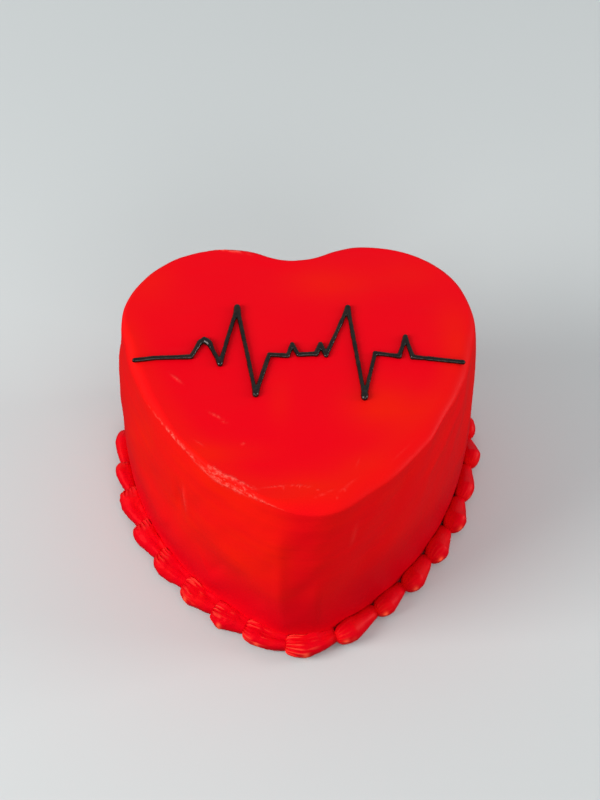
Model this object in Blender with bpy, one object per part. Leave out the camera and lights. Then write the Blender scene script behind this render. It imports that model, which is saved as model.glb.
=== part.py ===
"""A heart shaped cake in red icing, with a piped shell border round its foot and a piped black
heartbeat line across its top. Metres, +Z up, the heart's tip toward -Y, and the origin on the
surface that the cake stands on, under the middle of its box."""

import math
import random

import bmesh
import bpy
import numpy as np
from mathutils import Vector

# The heart's outline at the top edge and at the foot, where it is wider. Each half is four arcs that
# run smoothly into each other, and the tip was iced a little to one side.
top_heart = {
    "lobe_radius": 0.0535,
    "lobe_spread": 0.0389,  # from the middle line to the centre of a lobe
    "lobe_to_tip": 0.0826,  # from the lobes' centres forward to the centre of the tip's arc
    "side_radii": (0.1591, 0.1591),  # of the left side and the right one
    "tip_radius": 0.0386,
    "tip_aside": 0.0021,
    "notch_radius": 0.0389,
    "set_back": 0.0029,  # the front leans out more than the back
    "set_right": 0,
}
foot_heart = {
    "lobe_radius": 0.0572,
    "lobe_spread": 0.0392,
    "lobe_to_tip": 0.0918,
    "side_radii": (0.1551, 0.1700),
    "tip_radius": 0.0346,
    "tip_aside": -0.0027,
    "notch_radius": 0.0389,
    "set_back": 0,
    "set_right": 0.0006,
}

# The iced body.
cake_height = 0.1153
wall_fullness = 4  # how far up the wall keeps the width of the foot
foot_tuck = 0.0026  # the wall draws in at its very foot
tuck_height = 0.0300
wall_heights = (0, 0.0100, 0.0200, 0.0300, 0.0600, 0.0850, 0.1000)
facet_sag = 0.0001  # how far a flat facet may cut inside a round stretch
crisp_edge = (0.0020, 0.0018)  # how far the top edge rounds inward, and how far down
soft_edge = (0.0110, 0.0045)  # the same where the edge is rubbed down, at the tip and right of it
round_edge = (0.0062, 0.0062)  # the same at the two sides
soft_back = 0.0200  # the edge softens forward from this line
soft_deep = 0.0800  # over this distance
soft_left = -0.0250  # the edge is crisp to the left of this line
soft_fade = 0.0300  # and softens over this distance to the right of it
round_from = 0.0600  # the sides begin this far out from the middle
round_fade = 0.0280
round_back = 0.0500  # behind this line the sides are crisp again
round_deep = 0.0300
edge_steps = 4

# The border: shells from a star nozzle, one after the other, counter-clockwise from the notch.
shell_count = 27
first_shell = 0.0066  # along the foot from the notch to the back of the first head
tip_stretch = 0.0035  # the shells that turn the tip are drawn out longer
tip_at = 0.3180
tip_fade = 0.0200
notch_fade = 0.1000
head_reach = 0.0116  # how far a head stands out from the wall
head_height = 0.0122
head_share = 0.38  # from a head's back to where it is fattest, over the way to the next shell
low_middle = 0.46  # how high the middle of a section lies, over its height
back_power = 2.3  # how blunt the back of a head is
wall_power = 3.5  # how square a section is next to the wall, where 2 is round
tail_reach = 0.62  # the tail over the head
tail_height = 0.60
ruffled_tail = 0.20  # how much higher it is on the left and at the front, where the shells are fuller
ruffled_right = 0.0340  # the shells right of this line are plain
ruffled_back = 0.0300  # and those behind this one
ruffled_fade = 0.0400
behind_tuck = 0.0012  # the border lies closer to the wall behind
behind_from = -0.0100
behind_fade = 0.0300
nose_steps = (0.92, 0.70, 0.40, 0.0)  # where the sections of a head's back stand
body_steps = (0.35, 0.75)  # the same from the head to the tail's end
end_steps = (1, 0.5, 0)  # rings of a tail's hollow end, from its rim to its middle
ridge_count = 8
ridge_depth = 0.05
hand_size = 0.09  # how unevenly a hand pipes: each shell's size
hand_step = 0.0016  # and its place along the border
hand_seed = 16594
widest_spread = 0.85  # the tail wraps the next head's back out to this share of its section

# The heartbeat line, as the points where it turns, from the middle of the top, and how thick it is
# there over a plain stretch.
line_radius = 0.00125
line_lift = 0.00080  # the middle of the bead above the icing
line_forward = 0.00090  # how far the line lies in front of the middle
line_points = (
    (-0.0853, 0.0096, 1.0),
    (-0.0751, 0.0109, 1.0),
    (-0.0561, 0.0113, 1.1),
    (-0.0493, 0.0226, 1.2),
    (-0.0413, 0.0062, 1.3),
    (-0.0319, 0.0445, 1.4),
    (-0.0234, -0.0142, 1.5),
    (-0.0158, 0.0118, 1.0),
    (-0.0063, 0.0108, 1.1),
    (-0.0037, 0.0185, 1.1),
    (-0.0009, 0.0114, 1.1),
    (0.0084, 0.0117, 1.2),
    (0.0109, 0.0181, 1.1),
    (0.0135, 0.0106, 1.1),
    (0.0264, 0.0430, 1.4),
    (0.0319, -0.0174, 1.5),
    (0.0389, 0.0114, 1.1),
    (0.0513, 0.0091, 1.1),
    (0.0554, 0.0221, 1.2),
    (0.0582, 0.0085, 1.1),
    (0.0839, 0.0044, 1.0),
)
bead_sides = 8
slab_size = 0.2200  # a block that stands under the line while its underside is made flat

piece_gap = 0.0003  # between pieces that touch
tail_gap = 0.0005  # between a tail's hollow end and the rounded back of the next head


def smooth_step(share):
    share = min(max(share, 0), 1)
    return share * share * (3 - 2 * share)


def make_collection(name):
    collection = bpy.data.collections.new(name)
    bpy.context.scene.collection.children.link(collection)
    return collection


def make_icing(name, colour, roughness):
    material = bpy.data.materials.new(name)
    material.use_nodes = True
    shader = material.node_tree.nodes["Principled BSDF"]
    shader.inputs["Base Color"].default_value = (*colour, 1)
    shader.inputs["Roughness"].default_value = roughness
    shader.inputs["Metallic"].default_value = 0
    return material


def angle_of(way):
    return math.atan2(way.y, way.x)


def left_meeting(first, first_reach, second, second_reach):
    """The point on the left that lies at these two distances from the two centres."""
    apart = (second - first).length
    along = (first_reach**2 - second_reach**2 + apart**2) / (2 * apart)
    aside = math.sqrt(first_reach**2 - along**2)
    way = (second - first) / apart
    return first + way * along + Vector((-way.y, way.x)) * aside


def half_arcs(heart, side_sign):
    """The four arcs of one half, drawn as the right one, from the notch round the lobe to the tip: each
    arc's centre, radius, first and last angle, and which way its outside faces."""
    lobe_radius, tip_radius = heart["lobe_radius"], heart["tip_radius"]
    side_radius, notch_radius = heart["side_radii"][side_sign > 0], heart["notch_radius"]
    middle = heart["set_back"] + (heart["lobe_to_tip"] - lobe_radius + tip_radius) / 2
    lobe = Vector((heart["lobe_spread"], middle))
    tip = Vector((heart["tip_aside"] * side_sign, middle - heart["lobe_to_tip"]))
    notch_rise = math.sqrt((notch_radius + lobe_radius) ** 2 - lobe.x**2)
    notch = Vector((0, middle + notch_rise))
    side = left_meeting(tip, side_radius - tip_radius, lobe, side_radius - lobe_radius)
    return (
        (notch, notch_radius, -math.pi / 2, angle_of(lobe - notch), -1),
        (lobe, lobe_radius, angle_of(notch - lobe), angle_of(lobe - side), 1),
        (side, side_radius, angle_of(lobe - side), angle_of(tip - side), 1),
        (tip, tip_radius, angle_of(tip - side), -math.pi / 2, 1),
    )


def facet_counts(sag):
    """How many facets each arc of a half takes, so that the top and the foot have the same."""
    counts = []
    for _, radius, first, last, _ in half_arcs(foot_heart, 1):
        counts.append(math.ceil(abs(last - first) / (2 * math.acos(1 - sag / radius))))
    return counts


def half_outline(heart, side_sign, counts):
    points = []
    for (centre, radius, first, last, facing), facets in zip(half_arcs(heart, side_sign), counts):
        for step in range(facets + 1):
            angle = first + (last - first) * step / facets
            way = Vector((math.cos(angle), math.sin(angle)))
            spot = centre + way * radius
            points.append((*spot, *(way * facing)))
        points.pop()
    points.append((*(centre + Vector((0, -radius))), 0, -1))
    return np.array(points)


def heart_outline(heart, sag):
    """The whole heart, counter-clockwise from the notch, as an array of x, y and the normal's x, y."""
    counts = facet_counts(sag)
    right = half_outline(heart, 1, counts)
    left = half_outline(heart, -1, counts) * (-1, 1, -1, 1)
    return np.concatenate([left[:-1], right[:0:-1]]) + (heart["set_right"], 0, 0, 0)


def loft(name, rings, material, collection):
    """One closed body through rings of points. A ring of one point closes an end in a rounded way."""
    mesh = bpy.data.meshes.new(name)
    body = bmesh.new()
    made = [[body.verts.new(point) for point in ring] for ring in rings]
    for lower, upper in zip(made, made[1:]):
        count = max(len(lower), len(upper))
        for corner in range(count):
            after = (corner + 1) % count
            if len(lower) == 1:
                body.faces.new((lower[0], upper[corner], upper[after]))
            elif len(upper) == 1:
                body.faces.new((lower[corner], lower[after], upper[0]))
            else:
                body.faces.new((lower[corner], lower[after], upper[after], upper[corner]))
    for end in (made[0], made[-1]):
        if len(end) > 1:
            body.faces.new(end)
    bmesh.ops.recalc_face_normals(body, faces=body.faces)
    body.to_mesh(mesh)
    body.free()
    mesh.materials.append(material)
    mesh.shade_smooth()
    mesh.set_sharp_from_angle(angle=math.radians(40))
    made_object = bpy.data.objects.new(name, mesh)
    collection.objects.link(made_object)
    return made_object


def edge_size(x, y):
    """How far the top edge rounds inward and down at this place."""
    rubbed = smooth_step((soft_back - y) / soft_deep) * smooth_step((x - soft_left) / soft_fade)
    sides = smooth_step((abs(x) - round_from) / round_fade) * smooth_step((round_back - y) / round_deep)
    sides *= 1 - rubbed
    return [
        crisp + rubbed * (soft - crisp) + sides * (rounded - crisp)
        for crisp, soft, rounded in zip(crisp_edge, soft_edge, round_edge)
    ]


def wall_spot(foot, lean, out, up):
    """A place out from the wall at a height. The wall keeps to the foot's outline, from the array of
    x, y and normal, until it leans in to the top's, and it draws in at its very foot."""
    tuck = foot_tuck * max(1 - up / tuck_height, 0) ** 2
    return foot[:2] + lean * (up / cake_height) ** wall_fullness + foot[2:] * (out - tuck)


def make_cake(material, collection):
    """The iced body: a heart with a full wall that leans in to its top, and a rounded top edge."""
    foot = heart_outline(foot_heart, facet_sag)
    top = heart_outline(top_heart, facet_sag)
    pairs = list(zip(foot, top))
    rings = []
    for up in wall_heights:
        rings.append([(*wall_spot(below, above[:2] - below[:2], 0, up), up) for below, above in pairs])
    for step in range(edge_steps + 1):
        turn = math.pi / 2 * step / edge_steps
        ring = []
        for below, above in pairs:
            inward, drop = edge_size(*above[:2])
            up = cake_height - drop * (1 - math.sin(turn))
            wall = wall_spot(below, above[:2] - below[:2], 0, up)
            ring.append((*(wall - above[2:] * inward * (1 - math.cos(turn))), up))
        rings.append(ring)
    return loft("iced_cake", rings, material, collection)


class FootPath:
    """The foot's outline as a path, measured along from the notch."""

    def __init__(self):
        foot = heart_outline(foot_heart, facet_sag / 100)
        top = heart_outline(top_heart, facet_sag / 100)
        rows = np.hstack([foot, top[:, :2] - foot[:, :2]])
        self.rows = np.concatenate([rows, rows[:1]])
        steps = np.hypot(*np.diff(self.rows[:, :2], axis=0).T)
        self.along = np.concatenate([[0], np.cumsum(steps)])
        self.length = self.along[-1]

    def place(self, along, out, up):
        """The point this far along, out from the wall and its gap, and up from the surface."""
        row = np.array([np.interp(along % self.length, self.along, column) for column in self.rows.T])
        row[2:4] /= np.hypot(*row[2:4])
        return (*wall_spot(row[:4], row[4:], piece_gap + out, up), up)


class Shell:
    """One piped shell: a fat head with a rounded back, drawn out to a tail under the next one."""

    def __init__(self, start, length, reach, height, tail_height):
        self.start = start
        self.length = length
        self.reach = reach
        self.height = height
        self.tail_height = tail_height  # over the head's
        self.nose = head_share * length  # from its back to where it is fattest

    def section(self, fullness, tail):
        """The ridged outline across it, as places out from the wall and up from the surface. It is flat
        where it meets the surface. A fullness of 1 is whole, and a tail of 1 is the tail's end."""
        half_reach = self.reach * (1 + (tail_reach - 1) * tail) / 2
        height = self.height * (1 + (self.tail_height - 1) * tail)
        middle = height * low_middle
        places = []
        for corner in range(2 * ridge_count):
            angle = math.pi * corner / ridge_count
            swell = fullness * (1 + ridge_depth * (-1) ** corner)
            ways = (math.cos(angle), math.sin(angle))
            power = 2 / (2 if ways[0] > 0 else wall_power)
            across, above = (math.copysign(abs(way) ** power, way) * swell for way in ways)
            out, up = half_reach * (1 + across), middle + (height - middle) * above
            places.append((max(out, 0), max(up, 0)))
        return places

    def back(self, out, up):
        """How far along the foot the rounded back of its head begins, at a place across it."""
        middle = self.height * low_middle
        across = 2 * out / self.reach - 1
        above = (up - middle) / (self.height - middle)
        power = 2 if across > 0 else wall_power
        spread = (abs(across) ** power + abs(above) ** power) ** (1 / power) / (1 + ridge_depth)
        spread = min(spread, widest_spread)
        return self.start + self.nose * (1 - (1 - spread**back_power) ** (1 / back_power))

    def rings(self, following):
        """Its sections, from the back of its head to the middle of the tail's hollow end, which follows
        the back of the next head."""
        rings = [[(self.start, self.reach / 2, self.height * low_middle)]]
        for share in nose_steps:
            fullness = (1 - share**back_power) ** (1 / back_power)
            along = self.start + self.nose * (1 - share)
            rings.append([(along, *spot) for spot in self.section(fullness, 0)])
        for share in body_steps:
            along = self.start + self.nose + (self.length - self.nose) * share
            rings.append([(along, *spot) for spot in self.section(1, share)])
        end = np.array(self.section(1, 1))
        middle = end.mean(axis=0)
        for share in end_steps:
            ring = middle + (end - middle) * share
            rings.append([(following.back(out, up) - tail_gap, out, up) for out, up in ring])
        rings[-1] = rings[-1][:1]
        return rings


def shell_starts(length):
    """Where along the foot each shell's back lies and how big the shell is, uneven as a hand pipes."""
    draw = random.Random(hand_seed)
    starts = []
    for place in range(shell_count):
        even = first_shell + length / shell_count * place
        stretch = tip_stretch * math.tanh((even - tip_at) / tip_fade)
        stretch *= smooth_step(min(even, length - even) / notch_fade)
        along = even + stretch + draw.uniform(-hand_step, hand_step)
        starts.append((along, 1 + draw.uniform(-hand_size, hand_size)))
    return starts


def make_border(material, collection):
    path = FootPath()
    starts = shell_starts(path.length)
    shells = []
    for place, (start, size) in enumerate(starts):
        length = (starts[(place + 1) % shell_count][0] - start) % path.length
        x, y, _ = path.place(start + length / 2, 0, 0)
        behind = behind_tuck * smooth_step((y - behind_from) / behind_fade)
        ruffled = smooth_step((ruffled_right - x) / ruffled_fade)
        ruffled *= smooth_step((ruffled_back - y) / ruffled_fade)
        tail = tail_height + ruffled_tail * ruffled
        shells.append(Shell(start, length, head_reach * size - behind, head_height * size, tail))
    first = shells[0]
    again = Shell(first.start + path.length, first.length, first.reach, first.height, first.tail_height)
    for place, (shell, following) in enumerate(zip(shells, shells[1:] + [again])):
        placed = [[path.place(*spot) for spot in ring] for ring in shell.rings(following)]
        loft(f"shell_{place + 1:02d}", placed, material, collection)


def make_bead(name, start, end, thickness, collection):
    """A round bead of icing between two points, or a blob where they are the same."""
    mesh = bpy.data.meshes.new(name)
    body = bmesh.new()
    way = end - start
    if way.length:
        bmesh.ops.create_cone(
            body,
            cap_ends=True,
            segments=bead_sides,
            radius1=thickness,
            radius2=thickness,
            depth=way.length,
        )
    else:
        bmesh.ops.create_icosphere(body, subdivisions=2, radius=thickness)
    body.to_mesh(mesh)
    body.free()
    bead = bpy.data.objects.new(name, mesh)
    bead.location = (start + end) / 2
    bead.rotation_mode = "QUATERNION"
    bead.rotation_quaternion = way.to_track_quat("Z", "Y") if way.length else (1, 0, 0, 0)
    collection.objects.link(bead)
    return bead


def apply_modifiers(target):
    """Keeps the shape that the modifiers make, in the mesh itself."""
    bpy.context.view_layer.update()
    evaluated = target.evaluated_get(bpy.context.evaluated_depsgraph_get())
    mesh = bpy.data.meshes.new_from_object(evaluated)
    target.modifiers.clear()
    target.data = mesh


def make_line(material, collection, cutters):
    """The heartbeat line: straight beads joined by blobs at its turns, with a flat underside."""
    beads = make_collection("line_beads")
    height = cake_height + line_lift
    back = top_heart["set_back"] - line_forward
    turns = [(Vector((x, y + back, height)), line_radius * thick) for x, y, thick in line_points]
    for place, (turn, thickness) in enumerate(turns[1:]):
        make_bead(f"turn_{place}", turn, turn, thickness, beads)
    for place, ((start, _), (end, _)) in enumerate(zip(turns, turns[1:])):
        make_bead(f"run_{place}", start, end, line_radius, beads)
    line = make_bead("pulse_line", turns[0][0], turns[0][0], turns[0][1], collection)
    join = line.modifiers.new("join", "BOOLEAN")
    join.operation = "UNION"
    join.operand_type = "COLLECTION"
    join.collection = beads
    slab = bpy.data.meshes.new("icing_slab")
    body = bmesh.new()
    bmesh.ops.create_cube(body, size=slab_size)
    body.to_mesh(slab)
    body.free()
    under = bpy.data.objects.new("icing_slab", slab)
    under.location.z = cake_height + piece_gap - under.dimensions.z / 2
    under.hide_render = True
    under.display_type = "WIRE"
    cutters.objects.link(under)
    cut = line.modifiers.new("flat_underside", "BOOLEAN")
    cut.operation = "DIFFERENCE"
    cut.object = under
    apply_modifiers(line)
    for bead in list(beads.objects):
        bpy.data.objects.remove(bead)
    bpy.data.collections.remove(beads)
    line.data.materials.clear()
    line.data.materials.append(material)
    line.data.shade_smooth()
    line.data.set_sharp_from_angle(angle=math.radians(40))
    return line


def main():
    for old in list(bpy.data.objects):
        bpy.data.objects.remove(old)
    cake = make_collection("heart_cake")
    cutters = make_collection("cutters")
    red = make_icing("red_icing", (0.74, 0.006, 0.009), 0.42)
    black = make_icing("black_icing", (0.012, 0.008, 0.007), 0.25)
    make_cake(red, cake)
    make_border(red, cake)
    make_line(black, cake, cutters)


main()
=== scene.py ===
import math
import random

import bpy
import numpy as np
from mathutils import Matrix, Vector


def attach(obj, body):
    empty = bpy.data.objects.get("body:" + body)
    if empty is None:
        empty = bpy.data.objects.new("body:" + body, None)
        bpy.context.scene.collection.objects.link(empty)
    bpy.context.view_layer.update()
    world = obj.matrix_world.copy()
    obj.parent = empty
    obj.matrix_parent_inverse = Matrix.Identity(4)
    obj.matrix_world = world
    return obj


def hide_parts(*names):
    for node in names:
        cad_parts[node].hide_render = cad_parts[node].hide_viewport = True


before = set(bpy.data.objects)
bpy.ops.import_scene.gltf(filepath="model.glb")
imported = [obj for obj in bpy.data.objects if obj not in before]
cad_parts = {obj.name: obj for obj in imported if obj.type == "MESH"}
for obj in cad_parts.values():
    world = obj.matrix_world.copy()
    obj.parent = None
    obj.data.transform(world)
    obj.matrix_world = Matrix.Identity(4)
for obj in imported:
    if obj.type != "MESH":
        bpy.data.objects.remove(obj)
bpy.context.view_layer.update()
print("frame loaded:", len(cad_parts), "solids")

# small tools

noiseTable = 32  # random values along each side of the noise's table
noiseShift = 500.37  # how far into the noise the middle of the part lies, in patches
creaseAngle = 60  # degrees, edges that turn more than this stay sharp


def softStep(share):
    share = np.clip(share, 0, 1)
    return share * share * (3 - 2 * share)


def above(value, edge, fade):
    # 0 up to the edge, and softly up to 1 within the fade after it
    return softStep((value - edge) / fade)


def below(value, edge, fade):
    # 0 from the edge on, and softly up to 1 within the fade before it
    return softStep((edge - value) / fade)


def hump(value, middle, reach):
    # 1 at the middle, fading to 0 about two reaches away
    return np.exp(-(((value - middle) / reach) ** 2))


def patchNoise(points, size, seed):
    # smooth random values from -1 to 1, one patch about every size metres
    table = np.random.default_rng(seed).uniform(-1, 1, (noiseTable, noiseTable, noiseTable))
    spots = np.asarray(points, float) / size + noiseShift
    cell = np.floor(spots).astype(int)
    share = softStep(spots - cell)
    total = np.zeros(len(spots))
    for corner in np.ndindex(2, 2, 2):
        weight = np.prod(np.where(corner, share, 1 - share), axis=1)
        spot = (cell + corner) % noiseTable
        total += weight * table[spot[:, 0], spot[:, 1], spot[:, 2]]
    return total


def layeredNoise(points, layers):
    # patches of several sizes together: size, share and seed of each
    return sum(share * patchNoise(points, size, seed) for size, share, seed in layers)


def slantedNoise(first, second, grain):
    # noise over two coordinates, drawn out or slanted by how much of each goes into X and Y
    (firstX, secondX, firstY, secondY), layers = grain
    x = first * firstX + second * secondX
    y = second * secondY + first * firstY
    return layeredNoise(np.column_stack([x, y, first * 0]), layers)


def gridNoise(axes, size, seed):
    # patch noise over a grid, from the three coordinates of its points
    points = np.column_stack([axis.ravel() for axis in axes])
    return patchNoise(points, size, seed).reshape(axes[0].shape)


def closedGrid(rows, columns):
    # quads of a tube: each row of points is a closed ring
    first = np.arange(columns)
    second = (first + 1) % columns
    quads = [
        np.stack([row * columns + first, row * columns + second,
                  (row + 1) * columns + second, (row + 1) * columns + first], axis=1)
        for row in range(rows - 1)
    ]
    return np.concatenate(quads)


def fanFaces(ring, pole, outward):
    # closes a ring of point numbers onto one pole
    following = np.roll(ring, -1)
    order = (ring, following) if outward else (following, ring)
    return np.stack([order[0], order[1], np.full(len(ring), pole)], axis=1)


def cappedFaces(rows, columns, flipped):
    # faces of stacked rings, with one pole before the first ring and one after the last
    quads = closedGrid(rows, columns) + 1
    firstRing = np.arange(columns) + 1
    lastRing = firstRing + (rows - 1) * columns
    if flipped:
        quads = quads[:, ::-1]
    return [quads, fanFaces(firstRing, 0, flipped), fanFaces(lastRing, rows * columns + 1, not flipped)]


def makePiece(name, points, faces, material):
    mesh = bpy.data.meshes.new(name)
    mesh.from_pydata(np.asarray(points).tolist(), [], [face.tolist() for part in faces for face in part])
    mesh.materials.append(material)
    mesh.shade_smooth()
    mesh.set_sharp_from_angle(angle=math.radians(creaseAngle))
    mesh.update()
    piece = bpy.data.objects.new(name, mesh)
    bpy.context.scene.collection.objects.link(piece)
    return piece


def addMark(piece, name, first, values, last):
    # one number for each point, which the material reads; first and last are the closing points'
    attribute = piece.data.attributes.new(name, "FLOAT", "POINT")
    attribute.data.foreach_set("value", np.concatenate([first, values.ravel(), last]).astype(np.float32))


# camera

shot = {
    "place": (-0.03150, -0.58177, 0.83019),
    "heading": 3.089,  # degrees from straight ahead towards +X
    "down": 51.593,
    "roll": 1.357,
    "lens": 81,
    "sensor": 36,
    "nearest": 0.05,
}


def addCamera():
    turn, down, roll = (math.radians(shot[name]) for name in ("heading", "down", "roll"))
    ahead = Vector((math.sin(turn), math.cos(turn), 0))
    right = Vector((math.cos(turn), -math.sin(turn), 0))
    straightUp = Vector((0, 0, 1))
    forward = ahead * math.cos(down) - straightUp * math.sin(down)
    overhead = ahead * math.sin(down) + straightUp * math.cos(down)
    axisX = right * math.cos(roll) + overhead * math.sin(roll)
    axisY = overhead * math.cos(roll) - right * math.sin(roll)
    data = bpy.data.cameras.new("photoCamera")
    data.lens = shot["lens"]
    data.sensor_width = shot["sensor"]
    data.sensor_fit = "AUTO"
    data.clip_start = shot["nearest"]
    camera = bpy.data.objects.new("photoCamera", data)
    axes = Matrix((axisX, axisY, -forward)).transposed().to_4x4()
    camera.matrix_world = Matrix.Translation(shot["place"]) @ axes
    bpy.context.scene.collection.objects.link(camera)
    bpy.context.scene.camera = camera
    print("camera placed")


# materials


class Wire:
    # a socket that does sums: an expression on wires adds its Math nodes
    def __init__(self, paint, socket):
        self.paint = paint
        self.socket = socket

    def sum(self, operation, *values):
        return self.paint.add("ShaderNodeMath", {"operation": operation}, dict(enumerate(values)))

    def __add__(self, other):
        return self.sum("ADD", self, other)

    def __mul__(self, other):
        return self.sum("MULTIPLY", self, other)

    __radd__ = __add__
    __rmul__ = __mul__

    def limited(self):
        return self.paint.add("ShaderNodeClamp", {}, {0: self})


class Paint:
    # the nodes of a material, or of the world, under construction
    def __init__(self, name, kind="materials"):
        self.owner = getattr(bpy.data, kind).new(name)
        self.owner.use_nodes = True
        self.tree = self.owner.node_tree
        self.tree.nodes.clear()

    def add(self, kind, settings, inputs, output=0):
        # any node: its settings first, then its sockets, and the output that it gives
        node = self.tree.nodes.new(kind)
        for name, value in settings.items():
            setattr(node, name, value)
        for name, value in inputs.items():
            if isinstance(value, Wire):
                self.tree.links.new(value.socket, node.inputs[name])
            else:
                node.inputs[name].default_value = value
        return Wire(self, node.outputs[output]) if node.outputs else None

    def place(self):
        return self.add("ShaderNodeTexCoord", {}, {}, "Object")

    def grain(self, size, detail=2, vector=None, rough=0.5):
        # noise from 0 to 1 with patches of about size metres
        return self.add("ShaderNodeTexNoise", {}, {
            "Vector": vector or self.place(), "Scale": 1 / size, "Detail": detail, "Roughness": rough,
        }, "Fac")

    def drawnGrain(self, size, scale, turn):
        # noise drawn out along one way
        way = self.add("ShaderNodeMapping", {}, {
            "Vector": self.place(), "Scale": scale, "Rotation": (0, 0, math.radians(turn)),
        })
        return self.grain(size, 3, way)

    def layer(self, size, share, detail=2, rough=0.5):
        return self.grain(size, detail, None, rough) * share

    def between(self, value, low, high):
        # 0 below low, 1 above high, soft in between
        return self.add("ShaderNodeMapRange", {"interpolation_type": "SMOOTHSTEP"}, {
            "Value": value, "From Min": low, "From Max": high,
        })

    def blend(self, share, first, second):
        return self.add("ShaderNodeMix", {"data_type": "RGBA"}, {0: share, 6: first, 7: second}, 2)

    def mark(self, name):
        return self.add("ShaderNodeAttribute", {"attribute_name": name}, {}, "Fac")

    def bumped(self, height, depth):
        return self.add("ShaderNodeBump", {}, {"Height": height, "Distance": depth})

    def finish(self, inputs):
        shader = self.add("ShaderNodeBsdfPrincipled", {}, inputs)
        self.add("ShaderNodeOutputMaterial", {}, {"Surface": shader})
        return self.owner


# a layer of noise is its size, share, detail and roughness
redIcingLook = {
    "deep": (0.80, 0.0003, 0.0074, 1),  # crimson
    "warm": (0.83, 0.0110, 0.0022, 1),  # where it leans to orange: its own patches, and painted sheen on the wall and rim
    "paintedHighlight": (0.96, 0.1050, 0.0800, 1),  # painted highlight, paler, on the torn strip at the edge and on raised marks
    "low": (0.58, 0.0002, 0.0056, 1),  # painted shade above the border on the right, darker towards the foot
    "patchSize": 0.030,
    "patchWarmth": 0.05,
    "streaks": (0.020, (0.25, 1, 2.2), 25),  # size, scale and turn in degrees
    "streakWarmth": 0.25,
    "crumbSize": 0.0008,
    "crumbShare": 0.65,
    "roughness": 0.36,  # at its smoothest
    "roughPatches": (0.018, 0.16, 3),
    "tornRoughness": 0.20,
    "gloss": 0.24,
    "glossTint": (1.0, 0.02, 0.03, 1),
    "fine": (0.0022, 0.35, 4, 0.6),
    "drawn": (0.0040, (0.18, 0.9, 1.6), 20),
    "drawnShare": 0.65,
    "torn": (0.0009, 2.2, 3),
    "bump": 0.00012,
}


def redIcing():
    look = redIcingLook
    paint = Paint("redIcing")
    patches = paint.between(paint.grain(look["patchSize"]), 0.35, 0.70)
    streaks = paint.between(paint.drawnGrain(*look["streaks"]), 0.40, 0.75)
    # the icing's own warm patches together with painted sheen and highlight
    warmthAndSheen = paint.mark("warmthAndSheen") * (1 - look["streakWarmth"] + streaks * look["streakWarmth"])
    warmthAndSheen = warmthAndSheen + patches * look["patchWarmth"]
    colour = paint.blend(warmthAndSheen.limited(), look["deep"], look["warm"])
    # painted shade, darker low on the right-hand wall
    colour = paint.blend(paint.mark("low"), colour, look["low"])
    # painted highlight, paler on the torn strip and on raised marks; the same mark makes them rougher and
    # bumpier
    torn = paint.mark("tornEdge")
    crumbs = paint.between(paint.grain(look["crumbSize"], 3), 0.38, 0.60)
    highlighted = torn * (1 - look["crumbShare"] + crumbs * look["crumbShare"])
    colour = paint.blend(highlighted.limited(), colour, look["paintedHighlight"])
    roughness = look["roughness"] + paint.layer(*look["roughPatches"]) + torn * look["tornRoughness"]
    height = paint.layer(*look["fine"]) + paint.drawnGrain(*look["drawn"]) * look["drawnShare"]
    height = height + torn * paint.layer(*look["torn"])
    return paint.finish({
        "Base Color": colour,
        "Roughness": roughness.limited(),
        "Specular IOR Level": look["gloss"],
        "Specular Tint": look["glossTint"],
        "Normal": paint.bumped(height, look["bump"]),
    })


pipedRedLook = {
    "deep": (0.70, 0.0003, 0.0076, 1),
    "warm": (0.80, 0.0070, 0.0022, 1),  # the crests of the ridges, warmer: painted highlight
    "paintedHighlight": (0.95, 0.0720, 0.0420, 1),  # painted highlight on the ridges' torn ends, and on the toe spots and drops
    "dull": (0, 0, 0, 1),
    "through": (0.36, 0.0420, 0.0080, 1),  # painted glints that glow: the bright spots at some shells' toes and drops
    "crestWarmth": 0.5,
    "patchSize": 0.012,
    "patchWarmth": 0.25,
    "roughness": 0.32,  # at its smoothest
    "roughPatches": (0.009, 0.18, 3),
    "gloss": 0.28,
    "glossTint": (1.0, 0.05, 0.04, 1),
    "fine": (0.0016, 0.6, 4, 0.6),
    "broad": (0.0050, 0.8),
    "bump": 0.00014,
}


def pipedRed():
    look = pipedRedLook
    paint = Paint("pipedRedIcing")
    patches = paint.between(paint.grain(look["patchSize"]), 0.40, 0.65)
    # crests warmer: painted highlight on the ridges, with random patches
    crests = paint.between(paint.mark("crest"), 0.4, 1.0)
    warmthAndSheen = crests * look["crestWarmth"] + patches * look["patchWarmth"]
    colour = paint.blend(warmthAndSheen.limited(), look["deep"], look["warm"])
    # painted highlight on the ridges' torn ends, with painted glints at toes and drops
    colour = paint.blend(paint.mark("frillHighlight"), colour, look["paintedHighlight"])
    height = paint.layer(*look["fine"]) + paint.layer(*look["broad"])
    return paint.finish({
        "Base Color": colour,
        "Roughness": (look["roughness"] + paint.layer(*look["roughPatches"])).limited(),
        "Specular IOR Level": look["gloss"],
        "Specular Tint": look["glossTint"],
        # painted glints: a glow at some toes and drops, though no lamp
        "Emission Color": paint.blend(paint.mark("glow"), look["dull"], look["through"]),
        "Emission Strength": 1.0,
        "Normal": paint.bumped(height, look["bump"]),
    })


blackIcingLook = {
    "dark": (0.0036, 0.0026, 0.0018, 1),
    "brown": (0.0130, 0.0080, 0.0045, 1),
    "patchSize": 0.006,
    "roughness": 0.10,  # at its smoothest
    "roughPatches": (0.004, 0.20, 3),
    "gloss": 0.34,
    "fine": (0.0016, 0.7, 3),
    "broad": (0.0040, 1),
    "bump": 0.00035,
}


def blackIcing():
    look = blackIcingLook
    paint = Paint("blackIcing")
    patches = paint.between(paint.grain(look["patchSize"], 3), 0.42, 0.70)
    height = paint.layer(*look["fine"]) + paint.layer(*look["broad"])
    return paint.finish({
        "Base Color": paint.blend(patches, look["dark"], look["brown"]),
        "Roughness": (look["roughness"] + paint.layer(*look["roughPatches"])).limited(),
        "Specular IOR Level": look["gloss"],
        "Normal": paint.bumped(height, look["bump"]),
    })


# the heart, at its top and at its foot

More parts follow.
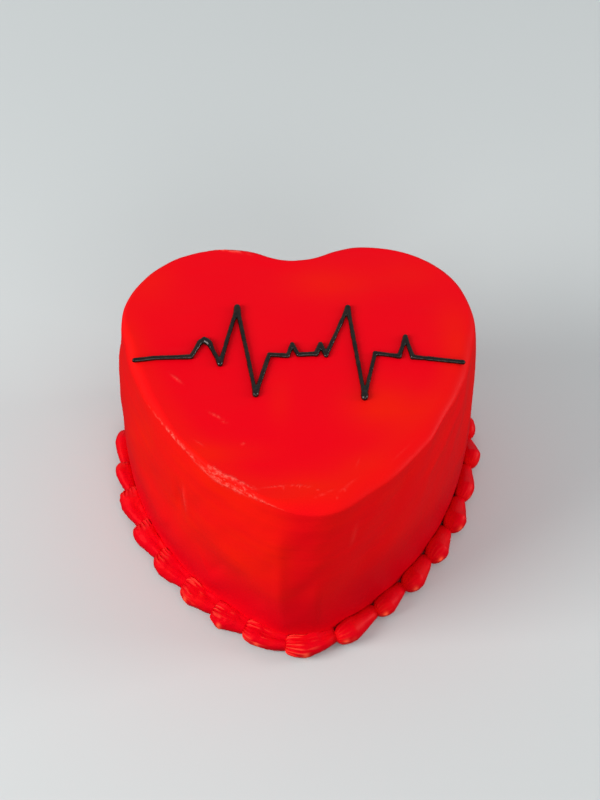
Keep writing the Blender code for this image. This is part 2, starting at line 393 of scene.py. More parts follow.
topHeart = {
    "lobe": 0.0535, "spread": 0.0389, "reach": 0.0826, "sides": (0.1591, 0.1591),
    "tip": 0.0386, "aside": 0.0021, "notch": 0.0389, "back": 0.0029, "right": 0.0,
}
footHeart = {
    "lobe": 0.0572, "spread": 0.0392, "reach": 0.0918, "sides": (0.1551, 0.1700),
    "tip": 0.0346, "aside": -0.0027, "notch": 0.0389, "back": 0.0, "right": 0.0006,
}
cakeShape = {
    "height": 0.1153,
    "fullness": 4,  # how far up the wall keeps the width of the foot
    "footTuck": 0.0026,  # the wall draws in at its very foot
    "tuckHeight": 0.0300,
    "crisp": (0.0020, 0.0018),  # edge at the left front and behind: inward, down
    "soft": (0.0110, 0.0045),  # rubbed edge at the front right
    "round": (0.0062, 0.0062),  # rounded edge at the two sides
    "softBack": 0.0200,
    "softDeep": 0.0800,
    "softLeft": -0.0250,
    "softFade": 0.0300,
    "roundFrom": 0.0600,
    "roundFade": 0.0280,
    "roundBack": 0.0500,  # behind this line the sides are crisp again
    "roundDeep": 0.0300,
}
arcSteps = {
    -1: (16, 110, 270, 54),  # left half: notch, lobe, side, tip
    1: (16, 90, 100, 40),
}


def angleOf(way):
    return math.atan2(way.y, way.x)


def meetingLeft(first, firstReach, second, secondReach):
    # where circles round two points meet, on the left of the way from one to the other
    apart = (second - first).length
    along = (firstReach**2 - secondReach**2 + apart**2) / (2 * apart)
    aside = math.sqrt(firstReach**2 - along**2)
    way = (second - first) / apart
    return first + way * along + Vector((-way.y, way.x)) * aside


def halfHeart(heart, side, steps):
    # points and outward normals of one half, drawn as the right one, from the notch to the tip
    middle = heart["back"] + (heart["reach"] - heart["lobe"] + heart["tip"]) / 2
    lobe = Vector((heart["spread"], middle))
    tip = Vector((heart["aside"] * side, middle - heart["reach"]))
    notch = Vector((0, middle + math.sqrt((heart["notch"] + heart["lobe"]) ** 2 - lobe.x**2)))
    flankRadius = heart["sides"][0 if side < 0 else 1]
    flank = meetingLeft(tip, flankRadius - heart["tip"], lobe, flankRadius - heart["lobe"])
    arcs = (
        (notch, heart["notch"], -math.pi / 2, angleOf(lobe - notch), -1),
        (lobe, heart["lobe"], angleOf(notch - lobe), angleOf(lobe - flank), 1),
        (flank, flankRadius, angleOf(lobe - flank), angleOf(tip - flank), 1),
        (tip, heart["tip"], angleOf(tip - flank), -math.pi / 2, 1),
    )
    rows = []
    for (centre, radius, start, end, sign), count in zip(arcs, steps):
        sweep = end - start
        if sign > 0 and sweep > 0:
            sweep -= 2 * math.pi
        for step in range(count):
            angle = start + sweep * step / count
            way = Vector((math.cos(angle), math.sin(angle)))
            spot = centre + way * radius
            rows.append((spot.x, spot.y, way.x * sign, way.y * sign))
    rows.append((tip.x, tip.y - heart["tip"], 0, -1))
    return np.array(rows)


def wholeHeart(heart):
    right = halfHeart(heart, 1, arcSteps[1])
    left = halfHeart(heart, -1, arcSteps[-1]) * (-1, 1, -1, 1)
    outline = np.concatenate([left[:-1], right[:0:-1]])  # counter-clockwise from the notch
    outline[:, 0] += heart["right"]
    return outline


topOutline = wholeHeart(topHeart)
footOutline = wholeHeart(footHeart)
footSteps = np.hypot(*(np.roll(footOutline, -1, axis=0) - footOutline)[:, :2].T)
footLength = footSteps.sum()
footAlong = np.concatenate([[0], np.cumsum(footSteps)])
footRows = np.column_stack([footOutline, topOutline[:, :2] - footOutline[:, :2]])
footRows = np.vstack([footRows, footRows[:1]])


def wallShape(up):
    # at a height: how far the wall has moved from the foot's outline to the top's, and how far it draws in
    rise = (up / cakeShape["height"]) ** cakeShape["fullness"]
    tuck = cakeShape["footTuck"] * np.clip(1 - up / cakeShape["tuckHeight"], 0, 1) ** 2
    return rise, tuck


def beside(along, out, up):
    # points out from the wall, at a distance along its foot and a height
    spot = np.mod(along, footLength)
    x, y, sideX, sideY, leanX, leanY = (np.interp(spot, footAlong, column) for column in footRows.T)
    rise, tuck = wallShape(up)
    away = out - tuck
    return np.column_stack([x + leanX * rise + sideX * away, y + leanY * rise + sideY * away, up])


def edgeSize(x, y):
    # how far the top edge rounds inward and down at each place
    shape = cakeShape
    rubbed = below(y, shape["softBack"], shape["softDeep"]) * above(x, shape["softLeft"], shape["softFade"])
    sides = above(np.abs(x), shape["roundFrom"], shape["roundFade"]) * (1 - rubbed)
    sides = sides * below(y, shape["roundBack"], shape["roundDeep"])
    crisp, soft, rounded = (np.array(shape[name]) for name in ("crisp", "soft", "round"))
    sizes = crisp + np.outer(rubbed, soft - crisp) + np.outer(sides, rounded - crisp)
    return sizes[:, 0], sizes[:, 1]


# the iced cake's tones: its own orange patches, with painted sheen, highlight and shade

# where the top leans to orange: x, y, reach across, reach front to back, how much
warmPatches = (
    (0.0418, -0.022, 0.019, 0.015, 1.05),
    (0.017, 0.064, 0.023, 0.011, 0.65),
    (0.0816, 0.0256, 0.01, 0.022, 0.65),
    (-0.094, 0.0228, 0.012, 0.032, 0.6),
    (-0.078, 0.066, 0.014, 0.015, 0.45),
    (0.0611, 0.0684, 0.02, 0.012, 0.35),
    (-0.0004, -0.07, 0.024, 0.011, 0.55),
    (-0.0442, -0.0477, 0.024, 0.007, 0.55),
    (-0.0111, -0.0156, 0.006, 0.015, 0.3),
    (0.029, -0.056, 0.018, 0.01, 0.4),
)
# a pair is the place where a tone starts or ends, and how far it fades
cakeTones = {
    "rim": 0.42,  # painted highlight: how warm the top is along its edge, apart from behind
    "rimEnd": (0, 0.014),
    "rimBack": (0.050, 0.080),
    # painted sheen: how warm the wall is, before its random patches
    "wall": 0.42,
    "near": 0.40,  # painted sheen: how much warmer the wall is where it faces left and front, towards the lamps
    "nearRight": (0.020, 0.040),
    "nearBack": (0.030, 0.060),
    "foot": 0.012,  # the foot of the wall stays crimson, without painted sheen
    "footFade": 0.050,
    "corner": 0.35,  # the corner beside the tip gets less painted sheen
    "cornerAt": (-0.003, 0.010),
    "cornerBack": (0, 0.040),
    "patches": ((0.024, 0.25, 16),),
    "low": 0.78,  # how much painted shade darkens the wall above the border on the right
    "lowTop": (0.012, 0.065),
    "lowLeft": (0.001, 0.036),
}


def warmthAndSheenShare(points, wall, fromRim):
    # how far each spot leans from crimson to orange: the top's own patches, and painted sheen and highlight
    # on the wall and rim
    tones = cakeTones
    left, front, up = points.T
    top = sum(
        share * hump(left, x, across) * hump(front, y, deep)
        for x, y, across, deep, share in warmPatches
    )
    top += tones["rim"] * (1 - above(fromRim, *tones["rimEnd"])) * below(front, *tones["rimBack"])
    near = below(left, *tones["nearRight"]) * below(front, *tones["nearBack"])
    corner = hump(left, *tones["cornerAt"]) * below(front, *tones["cornerBack"])
    side = tones["wall"] + tones["near"] * near - tones["corner"] * corner
    side = side * above(up, tones["foot"] * (1 + near), tones["footFade"])
    side *= 1 + layeredNoise(points, tones["patches"])
    return np.clip(top * (1 - wall) + side * wall, 0, 1)


def paintedShadeShare(points, wall):
    # how much painted shade darkens each spot, low on the right-hand wall
    tones = cakeTones
    low = 1 - above(points[:, 2], *tones["lowTop"])
    return tones["low"] * wall * low * above(points[:, 0], *tones["lowLeft"])


# the iced cake's relief

# a grain is how much of each way goes into X and Y, then the size, share and seed of each layer
cakeRelief = {
    "wallSway": 0.00120,
    "topSway": 0.00030,
    "swayLayers": ((0.042, 0.7, 3), (0.019, 0.3, 4)),
    "facets": 0.00125,  # flats that the scraper left, one beside the other
    "facetGrain": ((1, -0.55, 0.20, 0.45), ((0.0170, 0.75, 13), (0.0080, 0.25, 14))),
    "scraperMarks": 0.00010,
    "scraperGrain": ((0.06, 0, 0, 1), ((0.0030, 1, 5),)),
    "spreaderMarks": 0.00009,
    "spreaderGrain": ((0.25, 0.12, -0.35, 1), ((0.0065, 0.7, 6), (0.0026, 0.3, 7))),
    "evenFoot": (0.010, 0.016),  # the border lies on an even foot: its height and fade
    "inner": (0, 0.008),  # the top's marks start at the edge and fade in
    "thinMark": 0.0040,  # raised marks on the wall thinner than this get painted highlight too
    "wallPale": 0.0019,  # how far a mark on the wall or top stands out where its painted highlight is palest
    "topPale": 0.0003,
    "markPale": 0.55,
    "tornPale": 1.4,
}
# marks on the top left by the spreader: x, y, direction in degrees, length, width, height
dragMarks = (
    (-0.0636, -0.0006, -48, 0.006, 0.0012, 0.0003),
    (-0.0436, -0.025, -36, 0.006, 0.0009, 0.00032),
    (-0.0395, -0.0292, -24, 0.003, 0.0007, 0.00018),
    (-0.0303, -0.043, -30, 0.0016, 0.0011, 0.00028),
    (0.0305, 0.049, -20, 0.0014, 0.001, 0.00025),
    (-0.052, -0.042, -40, 0.005, 0.0007, 0.00014),
    (-0.011, -0.07, -75, 0.0022, 0.0006, 0.00025),
    (-0.0029, -0.0694, 80, 0.002, 0.0006, 0.00028),
    (0.0012, -0.07, 10, 0.0026, 0.0005, 0.00022),
    (0.0058, -0.072, 0, 0.0012, 0.0007, 0.00025),
    (0.015, -0.0765, 60, 0.0014, 0.0006, 0.00025),
    (0.019, -0.0723, 20, 0.0012, 0.0007, 0.00018),
    (0.0262, -0.056, 70, 0.004, 0.0006, 0.00012),
    (-0.015, -0.0694, 6, 0.011, 0.0006, 0.00024),
    (-0.004, -0.069, -4, 0.009, 0.0005, 0.00022),
    (0.009, -0.0742, 24, 0.008, 0.0006, 0.0002),
    (0.02, -0.07, 40, 0.009, 0.0008, 0.00018),
    (0.048, -0.05, 48, 0.014, 0.0008, 0.00006),
)
# marks on the wall: along the foot, height, lean in degrees, length, width, how far they stand out
wallMarks = (
    (0.2245, 0.079, 98, 0.014, 0.0024, 0.001),
    (0.219, 0.074, 98, 0.02, 0.006, -0.001),
    (0.233, 0.076, 98, 0.02, 0.007, -0.0004),
    (0.205, 0.044, -14, 0.07, 0.026, 0.0019),
    (0.262, 0.06, -27, 0.044, 0.02, 0.0017),
    (0.287, 0.06, 92, 0.056, 0.0066, 0.0008),  # beside the tip: a ridge on a broad swelling
    (0.285, 0.04, 92, 0.056, 0.022, 0.0013),
    (0.297, 0.046, 92, 0.064, 0.011, -0.0006),  # then a hollow
    (0.307, 0.046, 92, 0.064, 0.008, 0.0006),  # and a weaker ridge
    (0.248, 0.042, 60, 0.018, 0.006, -0.0006),
    (0.24, 0.04, 118, 0.016, 0.0042, 0.0005),
    (0.211, 0.04, 70, 0.017, 0.005, -0.00045),
    (0.323, 0.088, 88, 0.012, 0.0026, 0.0005),
    (0.36, 0.056, 30, 0.05, 0.026, 0.0013),
    (0.4, 0.095, 20, 0.06, 0.008, 0.0006),  # icing pushed over the edge on the right
    (0.435, 0.06, 75, 0.05, 0.014, 0.0009),
)
tornStrip = {
    "from": (-0.0820, 0.0190),  # its ends, from left to right, and how softly each fades
    "to": (-0.0070, 0.0190),
    "back": (0.0060, 0.0120),
    "over": 0.0012,  # how far over the edge it lies
    "hangAt": (-0.0420, 0.0180),  # where it hangs lowest over the edge, and the reach of that
    "hang": 0.0036,
    "width": 0.0010,
    "thinnest": 0.45,
    "hangWidth": 0.75,
    "widthLayers": ((0.0050, 0.35, 12),),
    "raggedLayers": ((0.0030, 0.00040, 10), (0.0009, 0.00018, 11)),
    "secondFrom": (-0.0500, 0.0050),  # a second strand parts from it and runs onto the top
    "secondTo": (-0.0215, 0.0100),
    "secondOver": 0.0004,
    "secondRise": 0.150,
    "secondRagged": 1.3,
    "secondWidth": 0.00075,
    "secondShare": 0.85,
    "threadFade": 0.0006,  # thin threads run between the two
    "threadGrain": ((0.5, 0.5, -0.22, 1), ((0.00075, 1, 15),)),
    "threadFrom": (0.15, 0.5),
    "threadShare": 0.7,
    "threadRise": 0.00015,
    "strandGrain": ((0.32, 0.25, 0, 1), ((0.00055, 1, 8),)),
    "clumpGrain": ((1, 0, 0, 0.6), ((0.0018, 1, 9),)),
    "cover": 0.52,
    "clumpCover": 0.45,
    "rise": 0.00022,
    "restRise": 0.4,
    "depth": 0.00030,  # how far its strands and clumps stand out and in
    "clumpDepth": 0.4,
}


def tornEdge(points, along, across):
    # the torn strip of the left front edge: how much of it there is, and how far it stands out
    strip = tornStrip
    left, front = points[:, 0], points[:, 1]
    zero = along * 0
    line = np.column_stack([along, zero, zero])
    ragged = layeredNoise(line, strip["raggedLayers"])
    here = above(left, *strip["from"]) * below(left, *strip["to"]) * below(front, *strip["back"])
    hanging = hump(left, *strip["hangAt"])
    middle = strip["over"] - strip["hang"] * hanging + ragged
    width = strip["thinnest"] + strip["hangWidth"] * hanging + layeredNoise(line, strip["widthLayers"])
    first = here * hump(across, middle, strip["width"] * width)
    parted = above(left, *strip["secondFrom"]) * below(left, *strip["secondTo"])
    second = strip["secondOver"] + strip["secondRise"] * (left - strip["secondFrom"][0])
    second = second + ragged * strip["secondRagged"]
    other = strip["secondShare"] * parted * hump(across, second, strip["secondWidth"])
    band = np.maximum(first, other)
    between = above(across, middle, strip["threadFade"]) * below(across, second, strip["threadFade"])
    threads = slantedNoise(along, across, strip["threadGrain"])
    between = between * parted * above(threads, *strip["threadFrom"]) * strip["threadShare"]
    strands = slantedNoise(along, across, strip["strandGrain"])
    clumps = slantedNoise(along, across, strip["clumpGrain"])
    covered = softStep(strip["cover"] + strip["clumpCover"] * clumps + strands)
    rise = strip["rise"] * (strip["restRise"] + (1 - strip["restRise"]) * hanging)
    rise = rise + strip["depth"] * (strands + strip["clumpDepth"] * clumps)
    return np.maximum(band * covered, between), band * rise + between * strip["threadRise"]


def strokeAt(first, second, mark):
    # how strongly a mark shows at each spot: its place, direction in degrees, length and width
    firstAt, secondAt, turn, length, width = mark
    lean = math.radians(turn)
    ahead = (first - firstAt) * math.cos(lean) + (second - secondAt) * math.sin(lean)
    aside = (second - secondAt) * math.cos(lean) - (first - firstAt) * math.sin(lean)
    return hump(ahead, 0, length / 2) * hump(aside, 0, width / 2)


def cakePush(points, along, across, wall, fromRim):
    # how far the icing stands out at each spot, and how much painted highlight it gets where torn or dragged
    relief = cakeRelief
    left, front, up = points.T
    sway = layeredNoise(points, relief["swayLayers"])
    facets = slantedNoise(along, up, relief["facetGrain"])
    scraped = slantedNoise(along, up, relief["scraperGrain"])
    push = wall * (sway * relief["wallSway"] + facets * relief["facets"] + scraped * relief["scraperMarks"])
    highlightShare = np.zeros(len(points))
    for *mark, depth in wallMarks:
        here = wall * strokeAt(along, up, mark)
        push += here * depth
        if depth > 0 and mark[-1] < relief["thinMark"]:
            highlightShare = np.maximum(highlightShare, here * depth / relief["wallPale"])
    push *= above(up, *relief["evenFoot"])

    drawn = slantedNoise(left, front, relief["spreaderGrain"])
    push += above(fromRim, *relief["inner"]) * (sway * relief["topSway"] + drawn * relief["spreaderMarks"])
    torn, tornPush = tornEdge(points, along, across)
    push += tornPush
    for *mark, rise in dragMarks:
        here = (1 - wall) * strokeAt(left, front, mark)
        push += here * rise
        highlightShare = np.maximum(highlightShare, here * rise / relief["topPale"])
    return push, np.clip(np.maximum(torn * relief["tornPale"], highlightShare * relief["markPale"]), 0, 1)


# the iced cake

cakeRows = {
    "wall": 72,
    "lip": 18,
    "near": 36,  # close rings next to the edge
    "far": 10,
    "nearShare": 0.40,  # how much of the way to the middle the close rings take
    "crowding": 1.5,  # rows lie closer together towards the edge
    "lipLength": 0.78,  # length over the rounded edge, over its two sizes together
    "under": (0.5, 0.97),  # the underside's rings, as shares of the foot's outline
}


def cakeRings():
    # rings from the foot to the top's middle: points, ways out, distance over the edge, share of the top
    height = cakeShape["height"]
    columns = len(topOutline)
    inward, drop = edgeSize(topOutline[:, 0], topOutline[:, 1])
    lip = (inward + drop) * cakeRows["lipLength"]
    rings = []

    def wallRing(up, inset, turn, across, top):
        rise, tuck = wallShape(up)
        flat = footOutline[:, :2] + (topOutline[:, :2] - footOutline[:, :2]) * rise[:, None]
        flat = flat - topOutline[:, 2:] * inset[:, None] - footOutline[:, 2:] * tuck[:, None]
        wayOut = footOutline[:, 2:] * (1 - rise[:, None]) + topOutline[:, 2:] * rise[:, None]
        wayOut /= np.linalg.norm(wayOut, axis=1)[:, None]
        ways = np.column_stack([wayOut * math.cos(turn), np.full(columns, math.sin(turn))])
        rings.append((np.column_stack([flat, up]), ways, across, np.full(columns, top)))

    for share in 1 - np.linspace(1, 0, cakeRows["wall"]) ** cakeRows["crowding"]:
        wallRing((height - drop) * share, np.zeros(columns), 0, (height - drop) * (share - 1), 0.0)
    for share in np.linspace(0, 1, cakeRows["lip"] + 1)[1:]:
        turn = share * math.pi / 2
        up = height - drop * (1 - math.sin(turn))
        over = share * (inward + drop) * cakeRows["lipLength"]
        wallRing(up, inward * (1 - math.cos(turn)), turn, over, share / 2)
    rim = rings[-1][0][:, :2]
    reach = np.linalg.norm(rim, axis=1)
    nearEnd = cakeRows["nearShare"]
    near = nearEnd * np.linspace(0, 1, cakeRows["near"] + 1)[1:] ** cakeRows["crowding"]
    far = np.linspace(nearEnd, 1, cakeRows["far"] + 2)[1:-1]
    for share in np.concatenate([near, far]):
        flat = np.column_stack([rim * (1 - share), np.full(columns, height)])
        rings.append((flat, np.tile([0.0, 0, 1], (columns, 1)), lip + reach * share, np.ones(columns)))
    return rings, lip


def icedCake(material):
    rings, lip = cakeRings()
    points, ways, across, top = (np.concatenate(parts) for parts in zip(*rings))
    rows, columns = len(rings), len(topOutline)
    along = np.tile(footAlong[:-1], rows)
    fromRim = across - np.tile(lip, rows)
    wall = 1 - softStep(top * 2)
    push, highlightShare = cakePush(points, along, across, wall, fromRim)
    low = paintedShadeShare(points, wall)
    points = points + ways * push[:, None]
    # closed below and at the middle of the top
    under = [np.column_stack([rings[0][0][:, :2] * share, np.zeros(columns)]) for share in cakeRows["under"]]
    allPoints = np.concatenate([[[0, 0, 0]], *under, points, [[0, 0, cakeShape["height"]]]])
    faces = cappedFaces(rows + len(under), columns, False)
    cake = makePiece("icedCake", allPoints, faces, material)
    spare = np.zeros(1 + len(under) * columns)
    # painted highlight on the torn strip and raised marks, and also their roughness and bump
    addMark(cake, "tornEdge", spare, highlightShare, [0])
    # the icing's own warm patches, and painted sheen and highlight
    addMark(cake, "warmthAndSheen", spare, warmthAndSheenShare(points, wall, fromRim), [0])
    # painted shade, low on the right-hand wall
    addMark(cake, "low", spare, low, [0])
    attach(cake, "root")
    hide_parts("iced_cake")
    print("iced cake:", len(allPoints), "points")


# the piped border

border = {
    "count": 27,
    "firstAt": 0.0066,  # along the foot, from the notch to the back of the first head
    "tipStretch": 0.0035,  # the shells that turn the tip are drawn out longer
    "tipAt": 0.3180,
    "tipFade": 0.0200,
    "notchFade": 0.1000,
    "handSize": 0.09,
    "handStep": 0.0016,
    "seed": 16594,
    "reach": 0.0116,  # how far a head stands out from the wall
    "height": 0.0122,
    "backPower": 2.3,  # how squarely a head's back is rounded
    "headShare": 0.38,  # where a shell is fattest, over the distance to the next one
    "tailReach": 0.62,  # the tail's reach over the head's
    "tailHeight": 0.60,
    "runOver": 0.09,  # how far a tail runs on under the next head
    "intoWall": 0.0004,
    "lowMiddle": 0.46,  # height at which a shell is widest, over its own
    "behindTuck": 0.0012,  # the border lies closer to the wall behind
    "behindFrom": (-0.0100, 0.0300),  # place and fade, as in the pairs below
    "ruffledRight": (0.0340, 0.0400),  # the left and front shells are ruffled, the others nearly smooth
    "ruffledBack": (0.0300, 0.0400),
    "ruffledTail": 0.20,  # how much higher the tails of the ruffled shells are
    "smear": 0.0022,  # how far a ruffled shell's icing runs up the wall
    "wallBack": 0.60,  # how much fuller a ruffled shell's back is next to the wall
    "toothedFrom": (-0.0400, 0.0120),  # the shells in front of this line show the teeth most
    "tooth": 0.0010,  # how far the ridges stick out at a ruffled back
    "strokeRise": 0.00030,
    "rings": 56,
    "crowding": 1.25,  # rings lie closer together at the back
    "around": 112,
    "firstSeed": 40,
    "ground": 0.0006,  # nothing reaches below this height, or further into the wall
    "groundFade": 0.0012,
}
shellRelief = {
    "ridges": 14,
    "twist": 0.40,
    "unevenTwist": 0.20,
    "eachTwist": 0.7,
    "wobbleSize": 0.25,
    "crestPower": 1.5,
    "smoothDepth": 0.014,
    "ruffledDepth": 0.050,
    "tailDepth": 0.08,
    "backDepth": 1.2,
    "backShare": 1.1,
    "unevenDepth": 0.7,
    "ridgeSize": 0.55,
    "ridgeLong": 0.6,
    "lumpSpan": (0.024, 0.006),  # length and thickness over which the lumps are drawn
    "lumps": ((0.0055, 0.070, 0.050, 100), (0.0020, 0.010, 0.030, 200)),  # size, smooth, ruffled, seed
    "wallSide": 0.50,  # the side next to the wall stays high, so that it meets the wall without a gap
    "ruffledWallSide": -0.28,
    "strokesAround": 8.5,
    "strokesAlong": 2.6,
    "strokeCut": (0.22, 0.35),
    "strokeUp": (0.05, 0.30),
    "strokeFrom": (0.03, 0.08),
    "strokeTo": (0.45, 0.25),
}
shellGlints = {
    "frillHighlight": 0.30,  # how much painted highlight the ridges' torn ends get
    "ruffledFrill": 0.70,
    "frillCrest": (0.45, 0.4),
    "frillFrom": (0.01, 0.04),
    "frillTo": (0.18, 0.14, 0.14),  # place, how much it varies, and fade
    "frillCover": (0.35, 1.3),
    "plainFrill": 0.3,
    "toothedFrill": 0.4,
    "strokeShare": 0.42,
    "toeRight": (0, 0.020),  # painted glints: bright spots at the toes of the plain right-hand front shells
    "toeBack": (0.020, 0.030),
    "toeAt": (0.13, 0.05),
    "toeUp": (0.25, 0.26),
    "toeOut": (0.30, 0.30),
    "toeUneven": 0.3,
    "dropAt": (0.34, 0.10),  # painted glints, bright drops on the toothed shells: place, and how much it varies
    "dropReach": 0.05,
    "dropOut": (0.45, 0.30),
    "dropUp": (0.60, 0.3),
    "dropShare": 0.9,
    "dropGlow": 0.5,
    "poleCrest": 0.6,
}


def shellRows():
    # where each shell starts and how big it is, uneven as a hand leaves them
    shape = border
    draw = random.Random(shape["seed"])
    rows = []
    for place in range(shape["count"]):
        even = shape["firstAt"] + footLength / shape["count"] * place
        stretch = shape["tipStretch"] * math.tanh((even - shape["tipAt"]) / shape["tipFade"])
        stretch *= float(softStep(min(even, footLength - even) / shape["notchFade"]))
        along = even + stretch + draw.uniform(-shape["handStep"], shape["handStep"])
        rows.append((along, 1 + draw.uniform(-shape["handSize"], shape["handSize"])))
    return rows


class Shell:
    # one piped shell: where it lies, how big it is and how it was piped
    def __init__(self, place, rows):
        shape, glints = border, shellGlints
        self.start, size = rows[place]
        following = rows[(place + 1) % len(rows)][0]
        if following < self.start:
            following += footLength
        self.length = following - self.start
        self.seed = shape["firstSeed"] + place
        x, y, _ = beside(np.array([self.start + self.length / 2]), np.zeros(1), np.zeros(1))[0]
        self.ruffled = float(below(x, *shape["ruffledRight"]) * below(y, *shape["ruffledBack"]))
        self.toothed = self.ruffled * float(below(y, *shape["toothedFrom"]))
        self.bright = float(above(x, *glints["toeRight"]) * below(y, *glints["toeBack"]))
        self.reach = shape["reach"] * size - shape["behindTuck"] * float(above(y, *shape["behindFrom"]))
        self.height = shape["height"] * size

        # share runs from 0 at the back of the head to 1 at the next one's, and turn goes round the section
        share = (1 + shape["runOver"]) * np.linspace(0, 1, shape["rings"]) ** shape["crowding"]
        turn = np.linspace(0, 2 * math.pi, shape["around"], endpoint=False)
        self.share, self.turn = np.meshgrid(share, turn, indexing="ij")
        self.sine, self.cosine = np.sin(self.turn), np.cos(self.turn)

    def section(self):
        # reach, height and fullness along the shell
        shape, fattest = border, border["headShare"]
        headWay = np.clip(self.share / fattest, 0, 1)
        cap = (1 - (1 - headWay) ** shape["backPower"]) ** (1 / shape["backPower"])
        tail = np.clip((self.share - fattest) / (1 - fattest), 0, 1)
        end = np.clip(self.share - 1, 0, shape["runOver"]) / shape["runOver"]
        close = np.sqrt(np.clip(1 - end**2, 0, 1))
        reach = self.reach * (1 + (shape["tailReach"] - 1) * tail)
        tailHeight = shape["tailHeight"] + shape["ruffledTail"] * self.ruffled
        crown = self.height * (1 + (tailHeight - 1) * tail)
        nextToWall = np.clip(-self.cosine, 0, 1) ** 0.5
        full = (cap * close) ** (1 - shape["wallBack"] * self.ruffled * nextToWall)
        return reach, crown, full

    def ridges(self):
        # the nozzle's ridges round the shell, how much its back shows them and how uneven they are
        relief = shellRelief
        zero = self.share * 0
        wobble = gridNoise((self.share, zero, zero), relief["wobbleSize"], self.seed)
        twist = relief["twist"] * self.share + relief["unevenTwist"] * wobble
        twist = twist + relief["eachTwist"] * self.seed
        crest = (0.5 + 0.5 * np.cos(relief["ridges"] * (self.turn + twist))) ** relief["crestPower"]
        atBack = 1 - softStep(self.share / (border["headShare"] * relief["backShare"]))
        spots = (self.cosine, self.sine, self.share * relief["ridgeLong"])
        return crest, atBack, gridNoise(spots, relief["ridgeSize"], self.seed + 300)

    def strokes(self):
        # strokes that the nozzle's teeth left along the upper side of a ruffled shell
        relief = shellRelief
        around = relief["strokesAround"]
        spots = (around * self.cosine, around * self.sine, self.share * relief["strokesAlong"])
        strokes = above(gridNoise(spots, 1.0, self.seed + 400), *relief["strokeCut"])
        strokes *= above(self.sine, *relief["strokeUp"]) * self.toothed
        strokes *= above(self.share, *relief["strokeFrom"])
        return strokes * (1 - above(self.share, *relief["strokeTo"]))

    def swell(self, full, crest, atBack, ridge):
        # how far the ridges and lumps stand out, over the plain section
        relief = shellRelief
        depth = relief["smoothDepth"] + relief["ruffledDepth"] * self.ruffled
        depth = depth * (relief["tailDepth"] + relief["backDepth"] * atBack**1.5)
        swell = 1 + depth * (1 + relief["unevenDepth"] * ridge) * (crest - 0.4)
        long, thick = relief["lumpSpan"]
        spots = (self.share * long, self.cosine * full * thick, self.sine * full * thick)
        lumps = sum(
            gridNoise(spots, size, self.seed + seed) * (smooth + ruffled * self.ruffled)
            for size, smooth, ruffled, seed in relief["lumps"]
        )
        return swell * (1 + lumps)

    def glints(self, crest, ridge, strokes):
        # painted highlight where the ridges' ends are torn, and painted glints that glow, as the photo shows
        look = shellGlints
        end, unevenEnd, endFade = look["frillTo"]
        cover, ridgeCover = look["frillCover"]
        frillHighlight = (look["frillHighlight"] + look["ruffledFrill"] * self.ruffled) * above(crest, *look["frillCrest"])
        frillHighlight *= above(self.share, *look["frillFrom"])
        frillHighlight *= 1 - above(self.share, end + unevenEnd * ridge, endFade)
        frillHighlight *= softStep(cover + ridgeCover * ridge)
        frillHighlight *= look["plainFrill"] + look["toothedFrill"] * self.toothed
        toe = self.bright * hump(self.share, *look["toeAt"]) * hump(self.sine, *look["toeUp"])
        toe *= above(self.cosine, *look["toeOut"]) * (1 - self.ruffled)
        drop, unevenDrop = look["dropAt"]
        drops = hump(self.share, drop + unevenDrop * math.sin(self.seed), look["dropReach"])
        drops *= above(self.cosine, *look["dropOut"]) * below(self.sine, *look["dropUp"]) * self.toothed
        frillHighlight = np.maximum(frillHighlight, look["strokeShare"] * strokes) + toe + look["dropShare"] * drops
        uneven = 1 - look["toeUneven"] + look["toeUneven"] * math.sin(3 * self.seed)
        return np.clip(frillHighlight, 0, 1), toe * uneven + look["dropGlow"] * drops


def pipedShell(place, rows, material):
    shape = border
    shell = Shell(place, rows)
    reach, crown, full = shell.section()
    crest, atBack, ridge = shell.ridges()
    strokes = shell.strokes()
    swell = shell.swell(full, crest, atBack, ridge)
    frillHighlight, glow = shell.glints(crest, ridge, strokes)
    sine, cosine, ruffled = shell.sine, shell.cosine, shell.ruffled

    halfWide = (reach + shape["intoWall"]) / 2
    rise = crown * shape["lowMiddle"]
    wallSide = shellRelief["wallSide"] + shellRelief["ruffledWallSide"] * ruffled
    lifted = np.where((cosine < 0) & (sine > 0), np.abs(sine) ** wallSide, sine)
    out = reach - halfWide + halfWide * full * swell * cosine
    up = rise + (crown - rise) * full * swell * lifted
    up = up + shape["smear"] * ruffled * full * (sine > 0) * np.clip(-cosine, 0, 1) ** 2
    up = up + shape["strokeRise"] * strokes * full
    ground = shape["ground"]
    up = np.where(up < ground, ground * np.exp((up - ground) / shape["groundFade"]), up)
    out = np.where(out < -ground, -ground, out)
    ahead = shell.start + shell.share * shell.length
    ahead = ahead - shape["tooth"] * ruffled * (1 + ridge) * (crest - 0.5) * atBack * full
    points = beside(ahead.ravel(), out.ravel(), up.ravel())

    around = shape["around"]
    back, end = points[:around].mean(axis=0), points[-around:].mean(axis=0)
    allPoints = np.concatenate([[back], points[around:-around], [end]])
    number = f"{place + 1:02d}"
    faces = cappedFaces(shape["rings"] - 2, around, True)
    piece = makePiece(f"pipedShell_{number}", allPoints, faces, material)
    poleCrest = [shellGlints["poleCrest"]]
    # painted highlight on the crests and torn ends, and painted glints that glow
    addMark(piece, "crest", poleCrest, (crest * atBack)[1:-1], poleCrest)
    addMark(piece, "frillHighlight", [0], frillHighlight[1:-1], [0])
    addMark(piece, "glow", [0], glow[1:-1], [0])
    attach(piece, "root")
    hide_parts(f"shell_{number}")


def pipedBorder(material):
    rows = shellRows()
    for place in range(border["count"]):
        pipedShell(place, rows, material)
    print("border:", border["count"], "shells")


# the piped pulse line

